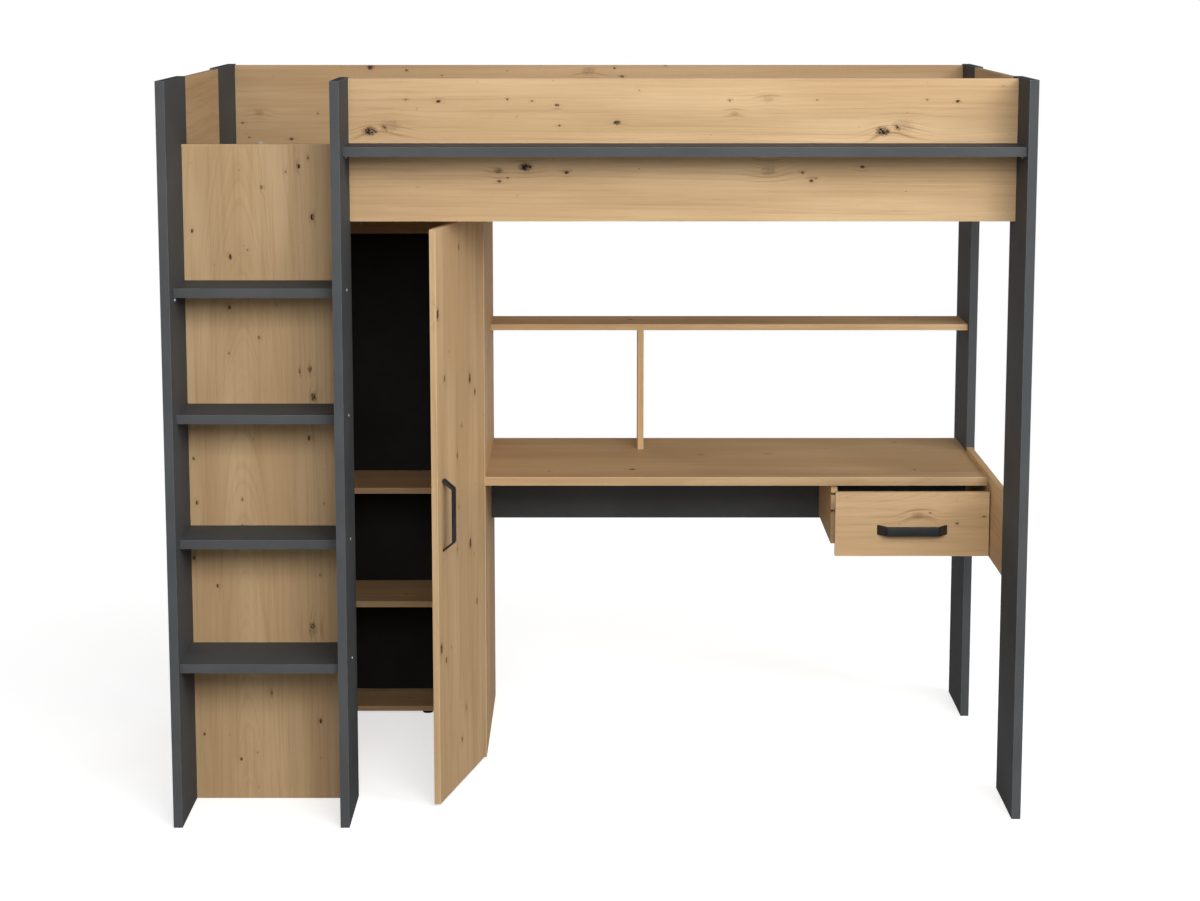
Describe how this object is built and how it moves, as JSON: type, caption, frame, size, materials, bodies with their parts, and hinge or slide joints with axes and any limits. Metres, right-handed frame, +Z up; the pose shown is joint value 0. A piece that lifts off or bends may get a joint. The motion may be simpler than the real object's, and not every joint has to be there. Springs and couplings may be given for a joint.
{
  "type": "loft bed with desk",
  "caption": "Loft bed on tall board posts with a box ladder, guard boards, a wardrobe with a hinged door, and a desk with a shelf and a sliding drawer underneath.",
  "frame": {"origin": "on the floor under the middle of the bed's outer box", "axes": "+X along the bed towards the desk's end, +Y across the bed towards the wall, +Z up"},
  "size_m": [2.048, 1.175, 1.788],
  "materials": {
    "oak_decor": "matt knotty oak decor on board",
    "anthracite_decor": "matt anthracite decor on board",
    "pine": "planed bare softwood",
    "black_board": "matt black board",
    "black_metal": "matt black powder coat",
    "steel": "zinc plated steel"
  },
  "bodies": {
    "bed_frame": {"ladder_back_panel": "oak_decor", "front_guard": "oak_decor", "front_side_rail": "oak_decor", "back_guard": "oak_decor", "left_end_guard": "oak_decor", "right_end_guard": "oak_decor", "wardrobe_left_side": "oak_decor", "wardrobe_right_side": "oak_decor", "wardrobe_top": "oak_decor", "wardrobe_bottom": "oak_decor", "wardrobe_shelf_lower": "oak_decor", "wardrobe_shelf_upper": "oak_decor", "wardrobe_back_rail": "oak_decor", "desk_top": "oak_decor", "desk_shelf": "oak_decor", "shelf_divider": "oak_decor", "desk_side_panel": "oak_decor", "drawer_housing_side": "oak_decor", "left_front_post": "anthracite_decor", "ladder_inner_post": "anthracite_decor", "right_front_post": "anthracite_decor", "left_rear_post": "anthracite_decor", "right_rear_post": "anthracite_decor", "front_ledge": "anthracite_decor", "desk_modesty_panel": "anthracite_decor", "ladder_step_1": "anthracite_decor", "ladder_step_2": "anthracite_decor", "ladder_step_3": "anthracite_decor", "ladder_step_4": "anthracite_decor", "front_batten": "pine", "rear_batten": "pine", "bed_slat_01": "pine", "bed_slat_02": "pine", "bed_slat_03": "pine", "bed_slat_04": "pine", "bed_slat_05": "pine", "bed_slat_06": "pine", "bed_slat_07": "pine", "bed_slat_08": "pine", "bed_slat_09": "pine", "bed_slat_10": "pine", "wardrobe_back": "black_board", "door_hinge_arm_1": "steel", "door_hinge_arm_2": "steel", "door_hinge_arm_3": "steel", "drawer_channel_left": "steel", "drawer_channel_right": "steel"},
    "door": {"wardrobe_door": "oak_decor", "door_handle": "black_metal", "door_hinge_cup_1": "steel", "door_hinge_cup_2": "steel", "door_hinge_cup_3": "steel"},
    "drawer": {"drawer_front": "oak_decor", "drawer_side_left": "black_board", "drawer_side_right": "black_board", "drawer_back": "black_board", "drawer_bottom": "black_board", "drawer_rail_left": "steel", "drawer_rail_right": "steel", "drawer_handle": "black_metal"}
  },
  "joints": [
    {"name": "door_swing", "type": "hinge", "parent": "bed_frame", "child": "door", "pos_m": [-0.3013, -0.0405, 0.719], "axis": [0, 0, 1], "range_deg": [-76.6, 28.4]},
    {"name": "drawer_slide", "type": "slide", "parent": "bed_frame", "child": "drawer", "axis": [0, -1, 0], "range_m": [-0.077, 0.19]}
  ]
}
